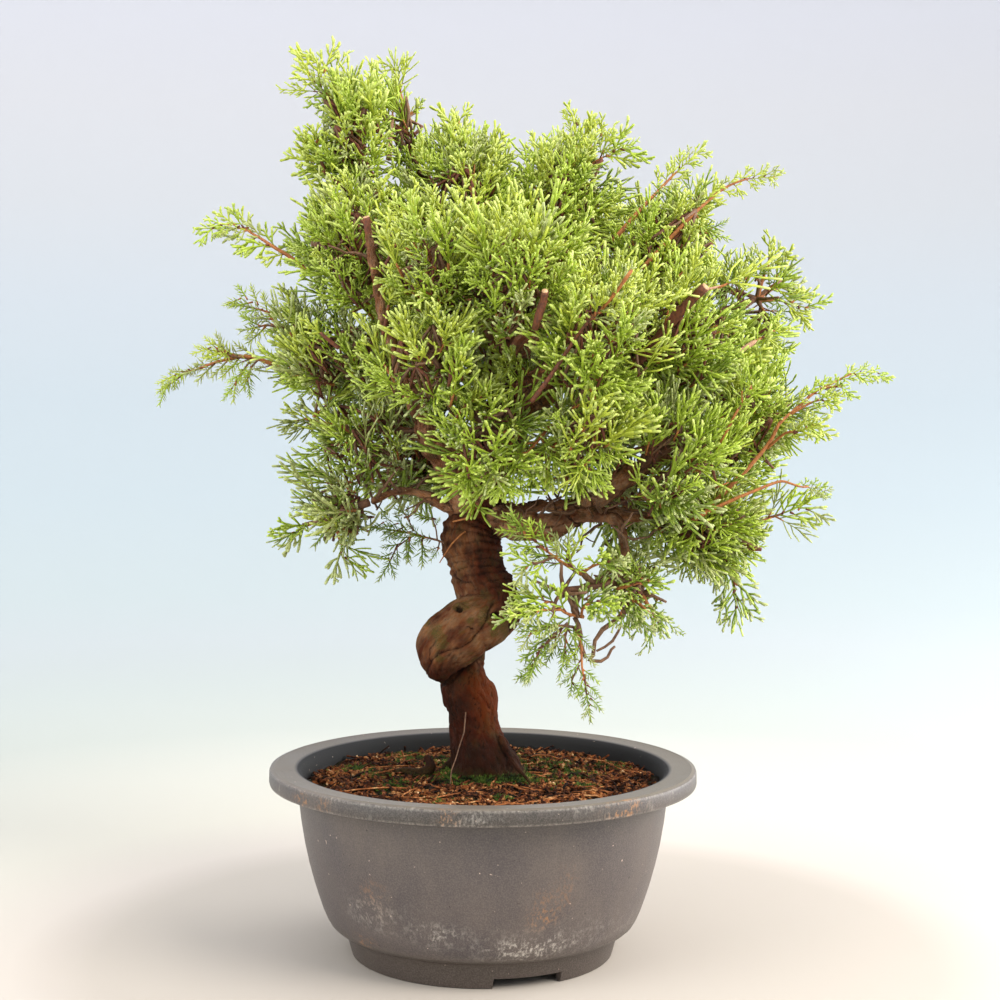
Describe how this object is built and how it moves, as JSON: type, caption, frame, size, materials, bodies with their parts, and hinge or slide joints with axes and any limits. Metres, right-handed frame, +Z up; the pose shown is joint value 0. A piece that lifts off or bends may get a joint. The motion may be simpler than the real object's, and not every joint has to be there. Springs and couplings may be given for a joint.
{
  "type": "potted bonsai tree",
  "caption": "Chinese juniper bonsai: a gnarled trunk with a sharp bend, spreading boughs and a dense crown of bright green cord-like foliage, in a round dark plastic bowl of bark soil.",
  "frame": {"origin": "bottom centre of the plant's bounding box, on the level surface that the bowl stands on", "axes": "+Z up, -Y towards the front of the tree, +X to the right seen from the front"},
  "size_m": [0.34, 0.236, 0.4249],
  "materials": {
    "pot": "matte",
    "soil": "rough",
    "bark": "rough",
    "foliage": "matte"
  },
  "bodies": {
    "root": {"pot": "pot", "soil": "soil", "trunk": "bark", "limb_apex_back": "bark", "limb_apex_left": "bark", "limb_back_low_left": "bark", "limb_back_low_right": "bark", "limb_back_middle": "bark", "limb_back_right": "bark", "limb_back_top_right": "bark", "limb_back_upper": "bark", "limb_droop": "bark", "limb_front_low": "bark", "limb_front_right": "bark", "limb_front_upper": "bark", "limb_left_arm": "bark", "limb_left_bottom": "bark", "limb_left_leader": "bark", "limb_left_low": "bark", "limb_left_shoulder": "bark", "limb_right_arm": "bark", "limb_right_bottom": "bark", "limb_right_low": "bark", "limb_right_mid": "bark", "limb_right_outer": "bark", "limb_top_right": "bark", "limb_upper_right": "bark", "apex_back": "foliage", "apex_left": "foliage", "back_centre": "foliage", "back_left": "foliage", "back_low_left": "foliage", "back_low_right": "foliage", "back_mid_right": "foliage", "back_right": "foliage", "back_upper": "foliage", "back_upper_left": "foliage", "back_upper_right": "foliage", "crown_top": "foliage", "droop_front": "foliage", "droop_right": "foliage", "front_centre": "foliage", "front_left": "foliage", "front_low": "foliage", "front_right": "foliage", "front_right_low": "foliage", "front_upper": "foliage", "left_arm": "foliage", "left_bottom": "foliage", "left_low": "foliage", "left_shoulder": "foliage", "right_arm": "foliage", "right_bottom": "foliage", "right_low": "foliage", "right_mid": "foliage", "right_outer": "foliage", "top_right": "foliage", "trunk_sprig": "foliage", "upper_right": "foliage"}
  },
  "joints": []
}
